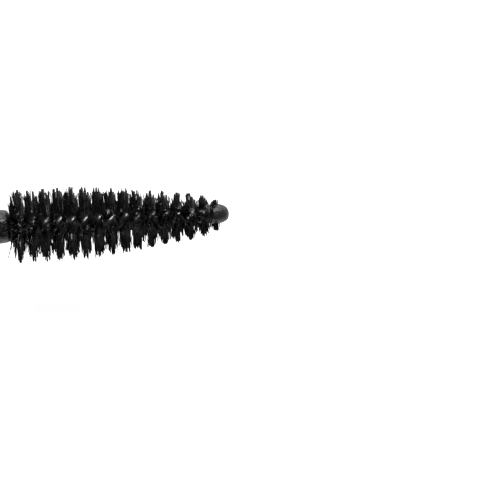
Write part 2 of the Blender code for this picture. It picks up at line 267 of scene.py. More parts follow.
def liner_look():
    """Plain moulded plastic with a spark-eroded grain."""
    look = Look("liner_moulded", (0.045, 0.045, 0.047), 0.58)
    grain = look.noise(9000.0, detail=3.0)
    flow = look.noise((60.0, 500.0, 500.0), detail=3.0)
    look.colour(look.mixed(look.ranged(flow, 0.0, 1.0), (0.028, 0.028, 0.030), (0.045, 0.045, 0.047)))
    look.roughness(look.ranged(grain, 0.38, 0.58))
    look.bump((grain, 0.000006), (flow, 0.00002))
    return look.material


def steel_look():
    """Turned mild steel with faint rust-brown stains."""
    look = Look("steel_slug", (0.52, 0.51, 0.50), 0.35, 1.0)
    grooves = look.lathe_marks(9000.0, 300.0)
    stains = look.noise(700.0, detail=5.0)
    stained = look.ranged(stains, 0.0, 1.0, 0.55, 0.75)
    look.colour(look.mixed(stained, (0.53, 0.52, 0.51), (0.35, 0.27, 0.21)))
    look.roughness(look.ranged(grooves, 0.25, 0.45))
    look.bump((grooves, 0.000006))
    return look.material


def stem_look():
    """Gloss black stem, filmed with product towards the brush."""
    look = Look("stem_gloss_filmed", (0.010, 0.010, 0.010), 0.14, Specular_IOR_Level=0.36)
    smears = look.noise((700.0, 1500.0, 1500.0), detail=5.0, roughness=0.65, distortion=0.6)
    near_brush = look.ranged(look.along(), -0.10, 0.15, STEM_END_X - 7 * MM, STEM_END_X)
    film = look.ranged(look.maths("ADD", smears, near_brush), 0.0, 1.0, 0.60, 0.68)
    look.colour(look.mixed(film, (0.012, 0.012, 0.012), (0.004, 0.004, 0.004)))
    filmed = look.ranged(film, 0.10, 0.26, 0.0, 1.0)
    look.roughness(look.maths("ADD", filmed, look.ranged(smears, 0.0, 0.06)))
    look.bump((film, 0.00003), (look.noise(5000.0, detail=3.0), 0.000002))
    return look.material


def wire_look():
    """Drawn steel wire under a thin wet film of product, worn bright here and there."""
    look = Look("wire_wet", (0.06, 0.06, 0.06), 0.24, 0.7)
    film = look.noise(2600.0, detail=4.0, roughness=0.6)
    covered = look.ranged(film, 0.0, 1.0, 0.40, 0.56)
    look.colour(look.mixed(covered, (0.06, 0.06, 0.06), (0.012, 0.012, 0.012)))
    look.roughness(look.ranged(film, 0.26, 0.42))
    look.bump((film, 0.00003))
    return look.material


def bristle_look():
    """Black nylon with product dried on in beads."""
    look = Look("bristle_coated", (0.008, 0.008, 0.008), 0.45, Specular_IOR_Level=0.12)
    beads = look.noise(6000.0, detail=3.0, roughness=0.6)
    patches = look.noise(900.0, detail=3.0)
    look.colour(look.mixed(look.ranged(patches, 0.0, 1.0), (0.008, 0.008, 0.008), (0.022, 0.0212, 0.0205)))
    look.roughness(look.ranged(beads, 0.28, 0.60))
    look.bump((beads, 0.00003))
    return look.material


def product_look():
    """Wet mascara: deep black, with glossy and drying patches."""
    look = Look("mascara_wet", (0.012, 0.012, 0.012), 0.18, Specular_IOR_Level=0.32)
    lumps = look.noise(2200.0, detail=5.0, roughness=0.6, distortion=0.4)
    drying = look.noise(500.0, detail=4.0)
    look.colour(look.mixed(look.ranged(drying, 0.0, 1.0), (0.008, 0.008, 0.008), (0.018, 0.0174, 0.017)))
    look.roughness(look.maths("ADD", look.ranged(drying, 0.07, 0.30), look.ranged(lumps, 0.0, 0.08)))
    look.bump((lumps, 0.00006), (look.noise(9000.0, detail=3.0), 0.000006))
    return look.material


def coat_look():
    """A thin wet coat of product, smooth over the wire."""
    look = Look("mascara_coat", (0.012, 0.012, 0.012), 0.28, Specular_IOR_Level=0.8)
    ripple = look.noise(1500.0, detail=3.0)
    look.colour(look.mixed(look.ranged(ripple, 0.0, 1.0), (0.008, 0.008, 0.008), (0.016, 0.0155, 0.015)))
    look.roughness(look.ranged(ripple, 0.24, 0.38))
    look.bump((ripple, 0.00003))
    return look.material


def bead_look():
    """Product that has begun to dry at the tip, with a fine skin on it."""
    look = Look("mascara_bead", (0.012, 0.012, 0.012), 0.34, Specular_IOR_Level=0.42)
    skin = look.noise(5000.0, detail=4.0, roughness=0.6)
    drying = look.noise(700.0, detail=3.0)
    look.colour(look.mixed(look.ranged(drying, 0.0, 1.0), (0.010, 0.010, 0.010), (0.024, 0.0232, 0.0225)))
    look.roughness(look.maths("ADD", look.ranged(drying, 0.22, 0.38), look.ranged(skin, 0.0, 0.10)))
    look.bump((look.noise(1800.0, detail=4.0, roughness=0.6), 0.00016), (skin, 0.00004))
    return look.material


def smeared_look(name, clean, at_mouth, inside, length, roughness=(0.3, 0.5), see_through=0.0):
    """Pale plastic smeared with product. The smears grow or fade from the neck's mouth over a length."""
    look = Look(name, clean, roughness[1], Subsurface_Weight=see_through, Subsurface_Scale=0.001)
    smears = look.noise((650.0, 420.0, 420.0), detail=7.0, roughness=0.62, distortion=0.35)
    reach = look.ranged(look.along(), at_mouth, inside, NECK_X, NECK_X + length)
    dirt = look.ranged(look.maths("ADD", smears, reach), 0.0, 1.0, 0.56, 0.68)
    look.colour(look.mixed(dirt, clean, (0.008, 0.008, 0.008)))
    look.roughness(look.ranged(dirt, *roughness[::-1], 0.0, 1.0))
    look.bump((dirt, 0.00003), (look.noise(7000.0, detail=3.0), 0.000004))
    return look.material


def vial_look():
    """The neck is smeared most near its mouth."""
    return smeared_look("vial_smeared", (0.50, 0.50, 0.49), 0.25, -0.15, 9 * MM, see_through=0.2)


def wiper_look():
    """The wiper is smeared most in its sleeve."""
    return smeared_look("wiper_smeared", (0.46, 0.46, 0.44), 0.06, 0.16, 6 * MM, roughness=(0.25, 0.5))


def foam_look():
    """Closed-cell foam washer, with a bite of product on it."""
    look = Look("foam_washer", (0.62, 0.61, 0.58), 0.85)
    cells = look.node("ShaderNodeTexVoronoi")
    cells.inputs["Scale"].default_value = 7000.0
    look.link(look.coordinates.outputs["Object"], cells.inputs["Vector"])
    stains = look.noise(700.0, detail=5.0)
    stained = look.ranged(stains, 0.0, 1.0, 0.52, 0.60)
    look.colour(look.mixed(stained, (0.62, 0.61, 0.58), (0.05, 0.05, 0.05)))
    look.roughness(look.ranged(cells.outputs["Distance"], 0.7, 0.95, 0.0, 0.8))
    look.bump((cells.outputs["Distance"], 0.00004))
    return look.material


def label_look():
    """Blank printed film with a fine fibre and a soft sheen."""
    look = Look("label_film_blank", (0.50, 0.49, 0.47), 0.4, Coat_Weight=0.2)
    fibre = look.noise((500.0, 6000.0, 1500.0), detail=4.0)
    look.colour(look.mixed(look.ranged(fibre, 0.0, 1.0), (0.46, 0.45, 0.43), (0.55, 0.54, 0.52)))
    look.roughness(look.ranged(fibre, 0.3, 0.5))
    look.bump((fibre, 0.000006))
    return look.material


# Meshes


def make_piece(name, points, faces, material, body, slot, nodes=(), sharp=40):
    """A piece of the object, shaded smooth, riding on its body."""
    mesh = bpy.data.meshes.new(name)
    mesh.from_pydata(points, [], faces)
    mesh.materials.append(material)
    mesh.shade_smooth()
    mesh.set_sharp_from_angle(angle=math.radians(sharp))
    piece = bpy.data.objects.new(name, mesh)
    bpy.context.scene.collection.objects.link(piece)
    if nodes:
        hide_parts(*nodes)
    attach(piece, body)
    return piece


def make_fine(node, points_faces, looks, slot, body):
    """The finer piece that stands for one CAD node."""
    make_piece(f"{node}_fine", *points_faces, looks[slot], body, slot, [node])


def rounded(outline, closed, arc_steps=5):
    """Swap each corner (along, radius, fillet) for a short curve. Corners without a fillet stay."""
    corners = [np.array(corner[:2], float) for corner in outline]
    points = []
    for index, corner in enumerate(corners):
        fillet = outline[index][2] if len(outline[index]) > 2 else 0.0
        at_end = not closed and index in (0, len(corners) - 1)
        if fillet == 0.0 or at_end:
            points.append(corner)
            continue
        before = corners[index - 1] - corner
        after = corners[(index + 1) % len(corners)] - corner
        start = corner + before / np.linalg.norm(before) * min(fillet, np.linalg.norm(before) * 0.49)
        end = corner + after / np.linalg.norm(after) * min(fillet, np.linalg.norm(after) * 0.49)
        for step in range(arc_steps + 1):
            t = step / arc_steps
            points.append((1 - t) ** 2 * start + 2 * t * (1 - t) * corner + t**2 * end)
    return points


def divided(points, closed, longest):
    """Add points so that no side of the outline is longer than the given length."""
    ends = points[1:] + ([points[0]] if closed else [])
    result = []
    for first, second in zip(points, ends):
        count = max(1, math.ceil(np.linalg.norm(second - first) / longest))
        result += [first + (second - first) * step / count for step in range(count)]
    return result if closed else result + [points[-1]]


def turned(outline, origin_x, closed=True, steps=144, relief=None, longest=None):
    """Points and faces of a turned piece, from an outline in distances from origin_x and from the axis.

    relief(along, angles, radius) gives what points stand out by, for threads and lumps.
    """
    profile = rounded(outline, closed)
    if longest:
        profile = divided(profile, closed, longest)
    angles = np.arange(steps) * math.tau / steps
    points = []
    rings = []
    for along, radius in profile:
        if radius < 1e-7:
            rings.append([len(points)])
            points.append((origin_x + along, 0.0, AXIS_Z))
            continue
        reach = radius + (relief(along, angles, radius) if relief else 0.0) * np.ones(steps)
        rings.append(list(range(len(points), len(points) + steps)))
        across, height = reach * np.cos(angles), AXIS_Z + reach * np.sin(angles)
        points += list(zip([origin_x + along] * steps, across, height))
    pairs = list(zip(rings, rings[1:])) + ([(rings[-1], rings[0])] if closed else [])
    faces = []
    for low, high in pairs:
        for k in range(steps):
            m = (k + 1) % steps
            if len(low) == 1 and len(high) == 1:
                continue
            if len(low) == 1:
                faces.append((low[0], high[m], high[k]))
            elif len(high) == 1:
                faces.append((low[k], low[m], high[0]))
            else:
                faces.append((low[k], low[m], high[m], high[k]))
    return points, faces


def thread_relief(at_radius, start, sign):
    """A round-topped thread on the surface of one radius, faded at both ends."""

    def relief(along, angles, radius):
        stand = np.zeros(len(angles))
        if abs(radius - at_radius) > 0.01 * MM:
            return stand
        for whole_turns in (-1, 0, 1):
            turn = (angles + math.pi / 2) / math.tau + whole_turns
            offset = (along - start - THREAD_LEAD * turn) / THREAD_HEIGHT
            fade = np.clip(np.minimum(turn, THREAD_TURNS - turn) * 9 + 0.1, 0, 1)
            fade[(turn < 0) | (turn > THREAD_TURNS)] = 0
            ridge = np.sqrt(np.clip(1 - offset**2, 0, 1)) * fade * THREAD_HEIGHT
            stand = np.maximum(stand, ridge)
        return sign * stand

    return relief


def tubes(paths, radii, sides=6):
    """Closed tapering tubes, one along each path. paths is (tube, ring, 3) and radii (tube, ring)."""
    count, rings, _ = paths.shape
    tangents = np.gradient(paths, axis=1)
    tangents /= np.linalg.norm(tangents, axis=2, keepdims=True)
    across = np.cross(tangents, np.array([1.0, 0.02, 0.03]))
    across /= np.linalg.norm(across, axis=2, keepdims=True)
    up = np.cross(tangents, across)
    angles = np.arange(sides) * math.tau / sides
    cosines, sines = (wave(angles)[None, None, :, None] for wave in (np.cos, np.sin))
    spread = cosines * across[:, :, None] + sines * up[:, :, None]
    walls = paths[:, :, None] + spread * radii[:, :, None, None]
    foot = paths[:, :1] - tangents[:, :1] * radii[:, :1, None] * 0.7
    tip = paths[:, -1:] + tangents[:, -1:] * radii[:, -1:, None] * 0.7
    points = np.concatenate([walls.reshape(count, rings * sides, 3), foot, tip], axis=1)
    ring = np.arange(sides)
    after = (ring + 1) % sides
    quads = []
    for r in range(rings - 1):
        low, high = r * sides, (r + 1) * sides
        quads += np.stack([low + ring, low + after, high + after, high + ring], axis=1).tolist()
    last = (rings - 1) * sides
    ends = np.stack([np.full(sides, rings * sides), after, ring], axis=1).tolist()
    ends += np.stack([np.full(sides, rings * sides + 1), last + ring, last + after], axis=1).tolist()
    size = rings * sides + 2
    faces = [tuple(v + tube * size for v in face) for tube in range(count) for face in quads + ends]
    return points.reshape(-1, 3), faces


def joined(parts):
    """One list of points and faces from several."""
    points, faces = [], []
    for more_points, more_faces in parts:
        start = len(points)
        points += [tuple(point) for point in more_points]
        faces += [tuple(v + start for v in face) for face in more_faces]
    return points, faces


# Shells, liner and neck


def make_cap_shell(looks):
    outline = [
        (-CAP_LENGTH, SHELL_BORE, 0.15 * MM),
        (-CAP_LENGTH, BODY_RADIUS, END_EDGE),
        (-RING_LENGTH - FIT, BODY_RADIUS, 0.12 * MM),
        (-RING_LENGTH - FIT, SHELL_BORE, CRISP_EDGE),
    ]
    make_fine("cap_shell", turned(outline, MOUTH_X), looks, "gloss_black", "wand")


def make_cap_top_disc(looks):
    """Closes the cap. Its face is dished inside a narrow step."""
    end = -CAP_LENGTH
    dish_radius = 5.2 * MM
    dish_depth = 0.25 * MM
    thickness = 1.4 * MM
    outline = [
        (end + dish_depth, 0.0),
        (end + dish_depth, dish_radius, SOFT_EDGE),
        (end, dish_radius + 0.4 * MM, SOFT_EDGE),
        (end, PLUG_RADIUS, 0.15 * MM),
        (end + SKIRT_LENGTH, PLUG_RADIUS, EDGE),
        (end + SKIRT_LENGTH, PLUG_RADIUS - WALL, EDGE),
        (end + thickness, PLUG_RADIUS - WALL, EDGE),
        (end + thickness, 0.0),
    ]
    points_faces = turned(outline, MOUTH_X, closed=False)
    make_fine("cap_top_disc", points_faces, looks, "dark_metal", "wand")


def make_cap_ring(looks):
    """The trim ring, with one fine groove round it."""
    bore = LINER_RADIUS + FIT
    groove_depth = 0.12 * MM
    groove_edge = 0.05 * MM
    outline = [
        (-RING_LENGTH, bore, CRISP_EDGE),
        (-RING_LENGTH, BODY_RADIUS, 0.18 * MM),
        (-RING_LENGTH * 0.72, BODY_RADIUS, groove_edge),
        (-RING_LENGTH * 0.68, BODY_RADIUS - groove_depth, groove_edge),
        (-RING_LENGTH * 0.64, BODY_RADIUS, groove_edge),
        (0.0, BODY_RADIUS, 0.22 * MM),
        (0.0, bore, 0.15 * MM),
    ]
    make_fine("cap_ring", turned(outline, MOUTH_X), looks, "dark_metal", "wand")


def make_bottle_shell(looks):
    outline = [
        (COLLAR_BAND + FIT, SHELL_BORE, CRISP_EDGE),
        (COLLAR_BAND + FIT, BODY_RADIUS, 0.12 * MM),
        (TUBE_LENGTH, BODY_RADIUS, END_EDGE),
        (TUBE_LENGTH, SHELL_BORE, 0.15 * MM),
    ]
    points_faces = turned(outline, SHOULDER_X)
    make_fine("bottle_shell", points_faces, looks, "gloss_black", "tube")


def make_shoulder_collar(looks):
    hole = NECK_RADIUS + 0.4 * MM
    vial_seat = VIAL_RADIUS + FIT
    outline = [
        (0.0, hole, 0.15 * MM),
        (0.0, BODY_RADIUS, SOFT_EDGE),
        (COLLAR_BAND, BODY_RADIUS, EDGE),
        (COLLAR_BAND, PLUG_RADIUS, 0.05 * MM),
        (SKIRT_LENGTH, PLUG_RADIUS, EDGE),
        (SKIRT_LENGTH, vial_seat, CRISP_EDGE),
        (2.2 * MM, vial_seat, CRISP_EDGE),
        (0.8 * MM, hole, CRISP_EDGE),
    ]
    points_faces = turned(outline, SHOULDER_X)
    make_fine("shoulder_collar", points_faces, looks, "dark_metal", "tube")


def make_base_plug(looks):
    """Closes the tube's shell. Its face has a shallow recess for the label."""
    inner_face = TUBE_LENGTH - 1.8 * MM
    skirt_end = VIAL_END + 0.6 * MM
    outline = [
        (inner_face, 0.0),
        (inner_face, PLUG_RADIUS - WALL, EDGE),
        (skirt_end, PLUG_RADIUS - WALL, EDGE),
        (skirt_end, PLUG_RADIUS, SOFT_EDGE),
        (TUBE_LENGTH, PLUG_RADIUS, EDGE),
        (TUBE_LENGTH, LABEL_RECESS_RADIUS, 0.15 * MM),
        (TUBE_LENGTH - LABEL_RECESS_DEPTH, LABEL_RECESS_RADIUS, CRISP_EDGE),
        (TUBE_LENGTH - LABEL_RECESS_DEPTH, 0.0),
    ]
    points_faces = turned(outline, SHOULDER_X, closed=False)
    make_fine("base_plug", points_faces, looks, "gloss_black", "tube")


def make_base_label(looks):
    radius = LABEL_RECESS_RADIUS - 2 * FIT
    back = TUBE_LENGTH - LABEL_RECESS_DEPTH + FIT / 2
    face = TUBE_LENGTH - FIT
    outline = [
        (back, 0.0),
        (back, radius, 0.05 * MM),
        (face, radius, 0.08 * MM),
        (face, 0.0),
    ]
    points_faces = turned(outline, SHOULDER_X, closed=False)
    make_fine("base_label", points_faces, looks, "label_film", "tube")


def make_liner(looks):
    """The cap's liner, with its thread and the socket that holds the stem's spigot."""
    seat = -FLANGE_TOP - FIT
    roof = seat - 1.6 * MM
    socket_end = roof - 6.0 * MM
    socket_bore = STEM_RADIUS + 0.65 * MM
    socket_radius = socket_bore + 1.4 * MM
    mouth = -0.2 * MM
    outline = [
        (socket_end, socket_bore, EDGE),
        (socket_end, socket_radius, SOFT_EDGE),
        (roof, socket_radius, 0.4 * MM),
        (roof, LINER_RADIUS, 0.6 * MM),
        (mouth, LINER_RADIUS, CRISP_EDGE),
        (mouth, LINER_BORE, 0.25 * MM),
        (seat, LINER_BORE, SOFT_EDGE),
        (seat, socket_bore, CRISP_EDGE),
    ]
    # Half a turn away from the neck's thread, once the cap is home
    start = THREAD_START + CLOSED_GAP - THREAD_LEAD / 2
    relief = thread_relief(LINER_BORE, start, -1)
    points_faces = turned(outline, MOUTH_X, relief=relief, longest=0.12 * MM)
    make_fine("inner_cap", points_faces, looks, "liner_plastic", "wand")


def make_vial(looks):
    """The inner bottle: a thin wall, a shoulder and the threaded neck."""
    bore = VIAL_RADIUS - WALL
    floor = VIAL_END - WALL
    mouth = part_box("vial")[0][0] - SHOULDER_X
    bend = 0.8 * MM
    outline = [
        (floor, 0.0),
        (floor, bore, bend),
        (4.2 * MM, bore, bend),
        (2.4 * MM, NECK_BORE, bend),
        (mouth, NECK_BORE, CRISP_EDGE),
        (mouth, NECK_RADIUS, 0.25 * MM),
        (1.0 * MM, NECK_RADIUS, 0.5 * MM),
        (2.8 * MM, VIAL_RADIUS, 0.7 * MM),
        (VIAL_END, VIAL_RADIUS, 1.2 * MM),
        (VIAL_END, 0.0),
    ]
    relief = thread_relief(NECK_RADIUS, THREAD_START, 1)
    points_faces = turned(outline, SHOULDER_X, closed=False, relief=relief, longest=0.2 * MM, steps=120)
    make_fine("vial", points_faces, looks, "vial_plastic", "tube")


def make_wiper(looks):
    """A flange on the neck's end, a sleeve in its bore, and a cone down to the lip."""
    flange_face = NECK_X - SHOULDER_X
    flange_back = flange_face + 0.75 * MM
    flange_radius = NECK_RADIUS - FIT
    outer = NECK_BORE - FIT
    inner = outer - 0.5 * MM
    cone_start = -5.0 * MM
    lip_end = -0.4 * MM
    lip = STEM_RADIUS + 0.08 * MM
    outline = [
        (flange_face, inner, 0.25 * MM),
        (flange_face, flange_radius, 0.25 * MM),
        (flange_back, flange_radius, CRISP_EDGE),
        (flange_back, outer, 0.05 * MM),
        (cone_start, outer, SOFT_EDGE),
        (lip_end, lip + 0.35 * MM, CRISP_EDGE),
        (lip_end, lip, CRISP_EDGE),
        (lip_end - 0.5 * MM, lip, CRISP_EDGE),
        (cone_start, inner - 0.1 * MM, 0.5 * MM),
    ]
    points_faces = turned(outline, SHOULDER_X, longest=0.3 * MM)
    make_fine("wiper", points_faces, looks, "wiper_rubber", "tube")


def make_gasket(looks):
    low, high = (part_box("neck_gasket")[corner][0] - MOUTH_X for corner in (0, 1))
    bore = STEM_RADIUS + 0.3 * MM
    outline = [
        (low, bore, CRISP_EDGE),
        (low, FLANGE_RADIUS, CRISP_EDGE),
        (high, FLANGE_RADIUS, 0.15 * MM),
        (high, bore, 0.15 * MM),
    ]
    points_faces = turned(outline, MOUTH_X)
    make_fine("neck_gasket", points_faces, looks, "soft_foam", "gasket")


def make_stem(looks):
    """The rod, with a spigot and a flange at the cap and a blind hole for the wire."""
    reach = STEM_END_X - MOUTH_X
    spigot_end = -FLANGE_TOP - 7.0 * MM
    spigot_radius = STEM_RADIUS + 0.5 * MM
    flange_end = -FLANGE_TOP + FLANGE_THICKNESS
    hole = 0.86 * MM
    floor_of_hole = WIRE_START_X - MOUTH_X - 0.5 * MM
    outline = [
        (spigot_end, 0.0),
        (spigot_end, spigot_radius, 0.5 * MM),
        (-FLANGE_TOP, spigot_radius, CRISP_EDGE),
        (-FLANGE_TOP, FLANGE_RADIUS, 0.15 * MM),
        (flange_end, FLANGE_RADIUS, 0.15 * MM),
        (flange_end, STEM_RADIUS, EDGE),
        (reach - 0.8 * MM, STEM_RADIUS, 0.6 * MM),
        (reach, STEM_RADIUS - 0.15 * MM, SOFT_EDGE),
        (reach, hole, CRISP_EDGE),
        (floor_of_hole, hole),
        (floor_of_hole, 0.0),
    ]
    smeared_length = 6 * MM
    smear_height = 0.010 * MM

    def smears(along, angles, radius):
        """A thin uneven film of product on the last part of the stem."""
        near = np.clip((along - reach + smeared_length) / smeared_length, 0, 1) ** 2 * (radius > 1.2 * MM)
        waves = np.sin(angles * 5 + along / MM * 2.1) + np.sin(angles * 9 - along / MM * 3.7)
        waves += np.sin(angles * 2 + along / MM)
        return near * np.clip(waves, 0, 3) * smear_height

    points_faces = turned(outline, MOUTH_X, closed=False, relief=smears, longest=0.15 * MM, steps=96)
    make_fine("stem", points_faces, looks, "stem_black", "wand")


def make_fill(looks):
    """The product that lines the vial, its channel scraped lumpy by the brush."""
    outer = VIAL_RADIUS - WALL - FIT
    end = VIAL_END - WALL - FIT
    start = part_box("mascara_fill")[0][0] - SHOULDER_X
    channel = 4.9 * MM
    lump_height = 0.09 * MM
    outline = [
        (end - 1.0 * MM, 0.0),
        (end - 1.4 * MM, channel, 0.8 * MM),
        (start, channel + 0.6 * MM, 0.5 * MM),
        (start + 0.3 * MM, outer, EDGE),
        (end, outer, 0.9 * MM),
        (end, 0.0),
    ]

    def lumps(along, angles, radius):
        inside = (radius < channel + 0.7 * MM) * (radius > 1.0 * MM) * (along < end - 1.2 * MM)
        turns = along / WIRE_LEAD * math.tau
        waves = np.sin(angles + turns) + 0.6 * np.sin(3 * angles - turns * 0.7)
        waves += 0.5 * np.sin(7 * angles + turns * 1.9)
        return inside * waves * lump_height

    points_faces = turned(outline, SHOULDER_X, closed=False, relief=lumps, longest=0.4 * MM, steps=96)
    make_fine("mascara_fill", points_faces, looks, "mascara", "tube")


# Brush


def brush_radius(along):
    return np.interp(along, *BRUSH_OUTLINE)


def bristle_angle(along):
    """Which way the bristles stand: 0 along +Y, a quarter turn along +Z."""
    return -math.tau * (along - FAN_LEVEL) / WIRE_LEAD


def in_place(along, angle, radius):
    """World points from distances along the brush, angles and radii."""
    return np.stack([STEM_END_X + along, radius * np.cos(angle), AXIS_Z + radius * np.sin(angle)], axis=-1)


def make_wire(looks):
    """Two strands twisted left-handed, joined by the bend at the tip."""
    steps_per_turn = 40
    start = WIRE_START_X - STEM_END_X
    end = WIRE_TIP_X - STEM_END_X - STRAND_OFFSET - STRAND_RADIUS
    along = np.linspace(start, end, round((end - start) / WIRE_LEAD * steps_per_turn))
    swing = np.linspace(0, math.pi, 13)[1:-1]
    angle = bristle_angle(along) + math.pi / 2
    # Product swells the strands by a fifth, once clear of the hole in the stem
    clear = np.clip(along / MM - 0.3, 0, 1) * np.clip((end - along) / MM, 0, 1)
    swell = 1 + 0.20 * clear
    out = in_place(along, angle, STRAND_OFFSET * swell)
    back = in_place(along, angle + math.pi, STRAND_OFFSET * swell)
    last = np.full(len(swing), angle[-1])
    bend = in_place(end + STRAND_OFFSET * np.sin(swing), last, STRAND_OFFSET * np.cos(swing))
    path = np.concatenate([out, bend, back[::-1]])
    film = np.concatenate([swell, np.ones(len(swing)), swell[::-1]])
    film += 0.03 * np.sin(np.arange(len(path)) * 0.9) * np.sin(np.arange(len(path)) * 0.23)
    points_faces = tubes(path[None], (STRAND_RADIUS * film)[None], sides=14)
    make_fine("core_wire", points_faces, looks, "wire_steel", "wand")


def levelled(tip_angle, facing, foot):
    """Press the tips out to the level, and part them where the wire shows."""
    tip_angle = tip_angle - LEVELLING / 2 * np.sin(2 * tip_angle)
    level = np.round(tip_angle / math.pi) * math.pi
    parted = level + np.clip(tip_angle - level, -PARTING, PARTING)
    near_level = np.abs(np.sin(facing)) < math.sin(NEAR_LEVEL)
    over_wire = near_level & (foot > BARE_WIRE[0]) & (foot < BARE_WIRE[1])
    return np.where(over_wire, parted, tip_angle)


def pull_together(tip_along, tip_angle, facing, loose, clump, scale):
    """Draw the tips of each clump to a point, as product does. Loose bristles stay where they are."""
    pull = RANDOM.uniform(0.60, 0.92, CLUMPS_PER_SIDE)[clump] * ~loose
    members = [clump == number for number in range(CLUMPS_PER_SIDE)]
    point_along = np.array([tip_along[member].mean() for member in members])
    point_along += RANDOM.normal(0, 0.17 * MM, CLUMPS_PER_SIDE) * scale.mean()
    point_angle = np.array([facing[member].mean() for member in members])
    point_angle += RANDOM.normal(0, math.radians(9), CLUMPS_PER_SIDE)
    tip_along = tip_along + (point_along[clump] - tip_along) * pull
    tip_angle = tip_angle + (point_angle[clump] - tip_angle) * pull
    return tip_along, tip_angle


def bristle_thickness(count, share):
    """Radii along each bristle: a taper, with one bead of product somewhere on it."""
    thick = BRISTLE_RADIUS * RANDOM.uniform(0.8, 1.3, count)[:, None] * (1.15 - 0.45 * share)
    bead_at = RANDOM.uniform(0.35, 0.95, count)[:, None]
    bead_height = RANDOM.uniform(0, 0.7, count)[:, None]
    return thick * (1 + bead_height * np.exp(-(((share - bead_at) / 0.09) ** 2)))


def grow_side(start, end, side, count):
    """One side of one half turn of bristles.

    Gives the bristles' paths and radii, then the paths that product follows and how far it runs along each.
    """
    foot = np.sort(RANDOM.uniform(start, end, count))
    full = brush_radius(foot)
    scale = full / BRUSH_OUTLINE[1].max()
    facing = bristle_angle(foot) + side * math.pi
    # How far each tip strays round the wire. Bristles reach less, the more they stray
    loose = RANDOM.random(count) < LOOSE_SHARE
    stray = RANDOM.normal(0, STRAY_SPREAD, count)
    stray[loose] = RANDOM.uniform(-MOST_STRAY, MOST_STRAY, loose.sum())
    shortened = 1 - STRAY_SHORTENING * np.abs(stray) / MOST_STRAY
    reach = full * RANDOM.normal(0.992, 0.018, count) * shortened
    splay = -FIRST_SPLAY * np.exp(-foot / FIRST_SPLAY_REACH) + RANDOM.normal(0, TIP_SCATTER, count) * scale
    clump = np.minimum(np.arange(count) * CLUMPS_PER_SIDE // count, CLUMPS_PER_SIDE - 1)
    tip_along, tip_angle = pull_together(foot + splay, facing + stray, facing, loose, clump, scale)
    tip_angle = levelled(tip_angle, facing, foot)
    foot_points = in_place(foot, facing, np.full(count, BRISTLE_FOOT))
    tip_points = in_place(tip_along, tip_angle, reach) - (0.0, LEAN, 0.0)
    share = np.linspace(0, 1, BRISTLE_POINTS)
    bow = RANDOM.normal(0, 0.05 * MM, (count, 1, 3)) * np.sin(share * math.pi)[None, :, None]
    paths = foot_points[:, None] + (tip_points - foot_points)[:, None] * share[None, :, None] + bow
    thick = bristle_thickness(count, share)
    # Product runs up the middle of each clump, and up each loose bristle
    spikes = []
    for number in range(CLUMPS_PER_SIDE):
        member = clump == number
        drawn = member & ~loose
        spikes.append(paths[drawn].mean(axis=0) if drawn.any() else paths[member][0])
    clump_draw = RANDOM.uniform(0.60, 0.90, CLUMPS_PER_SIDE)
    loose_draw = RANDOM.uniform(0.50, 0.78, loose.sum())
    draw = np.concatenate([clump_draw, loose_draw]) * (0.5 + 0.5 * scale.mean())
    return paths, thick, np.concatenate([spikes, paths[loose]]), draw


def make_bristles(looks):
    """Every fan of bristles, as one piece each. Gives the paths that product follows, and how far."""
    pitch = WIRE_LEAD / 2
    paths = []
    draws = []
    for number in range(1, FAN_COUNT + 1):
        start = FAN_START + (number - 1) * pitch
        end = min(start + pitch, FAN_END)
        count = max(CLUMPS_PER_SIDE * 2, round(BRISTLES_PER_FAN * (end - start) / pitch))
        sides = [grow_side(start, end, side, count) for side in (0, 1)]
        points_faces = joined([tubes(side[0], side[1], sides=5) for side in sides])
        make_fine(f"bristle_fan_{number:02d}", points_faces, looks, "bristle_nylon", "wand")
        paths += [side[2] for side in sides]
        draws += [side[3] for side in sides]
    return np.concatenate(paths), np.concatenate(draws)


def blobs(centres, sizes, stretch, rings=7, sides=10):
    """Closed rough balls of product, stretched by their own amounts across and up."""
    swing = np.linspace(-0.5, 0.5, rings + 2)[1:-1] * math.pi
    paths = np.zeros((len(centres), rings, 3))
    paths[:, :, 2] = np.sin(swing)[None] * (sizes * stretch[:, 2])[:, None]
    paths += centres[:, None]
    radii = np.cos(swing)[None] * (sizes * stretch[:, 0])[:, None]
    return tubes(paths, radii, sides)


def drawn_out(paths, draws):
    """Product drawn out along the bristles, thick at their feet."""
    start = 0.10
    share = np.linspace(0, 1, paths.shape[1])
    along = start + share[:, None] * (draws[:, None, None] - start)
    spikes = paths[:, :1] + (paths - paths[:, :1]) * along
    thick = (0.08 + 0.30 * (1 - share)) * MM * RANDOM.uniform(0.75, 1.2, len(paths))[:, None]
    lengths = np.linalg.norm(paths[:, -1] - paths[:, 0], axis=1) / BRUSH_OUTLINE[1].max()
    thick *= np.clip(lengths, 0, 1)[:, None] ** 0.7
    return tubes(spikes, thick, sides=8)


def clots_on_core():
    """Clots between the bristles' feet, which cover the wire at both ends of the brush."""
    count = CORE_CLOTS
    along = RANDOM.uniform(0.1 * MM, WIRE_TIP_X - STEM_END_X - 0.8 * MM, count)
    bare = (along > BARE_WIRE[0]) & (along < BARE_WIRE[1])
    angle = bristle_angle(along) + RANDOM.integers(0, 2, count) * math.pi
    angle += RANDOM.normal(0, 0.30, count) * np.where(bare, 1.0, 5.0)
    out = RANDOM.uniform(0.45, 1.6, count) * MM * brush_radius(along) / BRUSH_OUTLINE[1].max()
    size = RANDOM.uniform(0.14, 0.42, count) * MM
    return blobs(in_place(along, angle, out), size, RANDOM.uniform(0.7, 1.4, (count, 3)))


